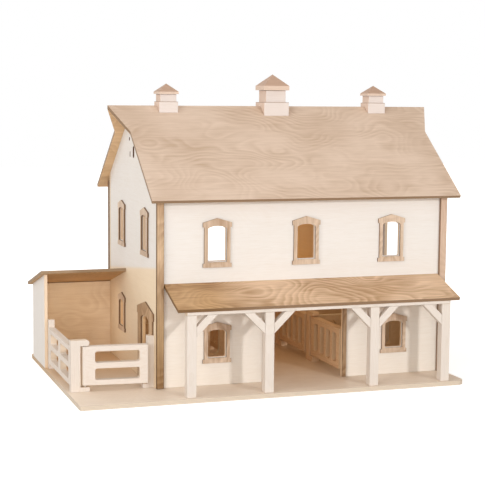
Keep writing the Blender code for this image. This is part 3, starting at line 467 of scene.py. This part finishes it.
def wood(name, kind, normal, grain, seed):
    """Makes one piece's wood."""
    tone = KINDS[kind]
    material = bpy.data.materials.new(name + "_wood")
    material.use_nodes = True
    tree = Tree(material.node_tree)
    shader = material.node_tree.nodes["Principled BSDF"]
    shader.inputs["Roughness"].default_value = tone["rough"]
    shader.inputs["Specular IOR Level"].default_value = SPECULAR

    fibre = Grain(tree, normal, grain, seed)
    solid = kind in SOLID_KINDS
    figure = fibre.year_rings() if solid else fibre.contours()
    streaks = fibre.layer("streaks")
    fibres = fibre.layer("fibres")
    face = face_colour(tree, tone, figure, streaks, fibres, fibre.layer("blotch"))
    facing = tree.math("ABSOLUTE", tree.dot(fibre.surface, grain if solid else normal))
    if solid:
        colour = solid_colour(tree, tone, facing, face)
    else:
        colour = plywood_colour(fibre, name, kind, facing, face)
    tree.feed(shader.inputs["Base Color"], local_tints(fibre, name, normal, colour))

    bump = tree.node("ShaderNodeBump")
    bump.inputs["Strength"].default_value = BUMP_STRENGTH
    bump.inputs["Distance"].default_value = BUMP_DEPTH
    tree.feed(bump.inputs["Height"], tree.math("ADD", fibres, streaks))
    tree.feed(shader.inputs["Normal"], bump.outputs["Normal"])
    return material


def dress(name, kind, normal, grain, seed):
    """Gives a CAD node its wood and eases its edges."""
    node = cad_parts[name]
    node.data.materials.clear()
    node.data.materials.append(wood(name, kind, normal, grain, seed))
    bevel = node.modifiers.new("eased_edges", "BEVEL")
    bevel.width = SCORCHED_EDGE if kind in SCORCHED_KINDS else BOARD_EDGE
    bevel.segments = EDGE_STEPS
    bevel.limit_method = "ANGLE"
    bevel.angle_limit = EDGE_ANGLE


def dress_all():
    """Dresses every piece, each from its own place along the grain."""
    seed = 0
    for pieces, normal in ((FRONT_PIECES, AXIS_Y), (SIDE_PIECES, AXIS_X), (FLAT_PIECES, AXIS_Z)):
        for name, (kind, grain) in pieces.items():
            seed += SEED_STEP
            dress(name, kind, normal, grain, seed)
    for name, (kind, normal) in SLOPED_PIECES.items():
        seed += SEED_STEP
        dress(name, kind, normal, AXIS_X, seed)


def add_camera():
    """Adds a camera where the photograph was taken from."""
    camera = bpy.data.cameras.new("camera")
    camera.lens = LENS
    camera.sensor_width = SENSOR
    camera.shift_x = SHIFT_X
    camera.shift_y = SHIFT_Y
    holder = bpy.data.objects.new("camera", camera)
    turn = Matrix((LOOK_RIGHT, LOOK_UP, -LOOK_FORWARD)).transposed()
    holder.matrix_world = Matrix.Translation(EYE) @ turn.to_4x4()
    bpy.context.scene.collection.objects.link(holder)
    bpy.context.scene.camera = holder


def hang(lamp, place, turn):
    """Puts a lamp at a place, out of the camera's sight."""
    holder = bpy.data.objects.new(lamp.name, lamp)
    holder.location = place
    holder.rotation_euler = turn
    holder.visible_camera = False
    bpy.context.scene.collection.objects.link(holder)


def add_lamp(name, place, size, level):
    """Adds a square lamp that gives a white surface facing it, at the aim, this level of light."""
    ray = AIM - place
    lamp = bpy.data.lights.new(name, "AREA")
    lamp.shape = "SQUARE"
    lamp.size = size
    lamp.energy = level * pi * pi * ray.length_squared
    hang(lamp, place, ray.to_track_quat("-Z", "Y").to_euler())


def add_glow(name, place, tilt, size, power):
    """Adds a warm lamp in a room."""
    lamp = bpy.data.lights.new(name, "AREA")
    lamp.shape = "RECTANGLE"
    lamp.size, lamp.size_y = size
    lamp.color = GLOW_COLOUR
    lamp.energy = power
    hang(lamp, place, (tilt, 0, 0))


def add_world():
    """Lights evenly from all sides, and shows plain white behind the toy."""
    world = bpy.data.worlds.new("studio")
    world.use_nodes = True
    tree = Tree(world.node_tree)
    background = world.node_tree.nodes["Background"]
    seen = tree.node("ShaderNodeLightPath").outputs["Is Camera Ray"]
    strength = tree.math("MULTIPLY_ADD", seen, 1 - WORLD_LEVEL, WORLD_LEVEL)
    tree.feed(background.inputs["Strength"], strength)
    tree.feed(background.inputs["Color"], tree.mix(seen, WORLD_COLOUR, WHITE))
    bpy.context.scene.world = world


def add_floor():
    """Lays the backdrop paper under the toy."""
    mesh = bpy.data.meshes.new("floor")
    half = FLOOR_SIZE / 2
    corners = [(-half, -half, 0), (half, -half, 0), (half, half, 0), (-half, half, 0)]
    mesh.from_pydata(corners, [], [(0, 1, 2, 3)])
    floor = bpy.data.objects.new("floor", mesh)
    bpy.context.scene.collection.objects.link(floor)
    material = bpy.data.materials.new("floor_paper")
    material.use_nodes = True
    tree = Tree(material.node_tree)
    shader = material.node_tree.nodes["Principled BSDF"]
    shader.inputs["Base Color"].default_value = (FLOOR_TONE, FLOOR_TONE, FLOOR_TONE, 1)
    shader.inputs["Roughness"].default_value = FLOOR_ROUGHNESS
    shader.inputs["Specular IOR Level"].default_value = 0
    shader.inputs["Emission Color"].default_value = (*WHITE, 1)
    seen = tree.node("ShaderNodeLightPath").outputs["Is Camera Ray"]
    place = tree.node("ShaderNodeTexCoord").outputs["Object"]
    reach = tree.math("SQRT", tree.dot(place, place))
    glow = tree.math("MULTIPLY_ADD", tree.ramp(reach, GLOW_START, GLOW_END), 1 - FLOOR_GLOW, FLOOR_GLOW)
    tree.feed(shader.inputs["Emission Strength"], tree.math("MULTIPLY", seen, glow))
    mesh.materials.append(material)


bpy.context.scene.view_settings.view_transform = "Standard"
add_camera()
add_world()
add_floor()
for lamp in LAMPS:
    add_lamp(**lamp)
for glow in GLOWS:
    add_glow(**glow)
dress_all()
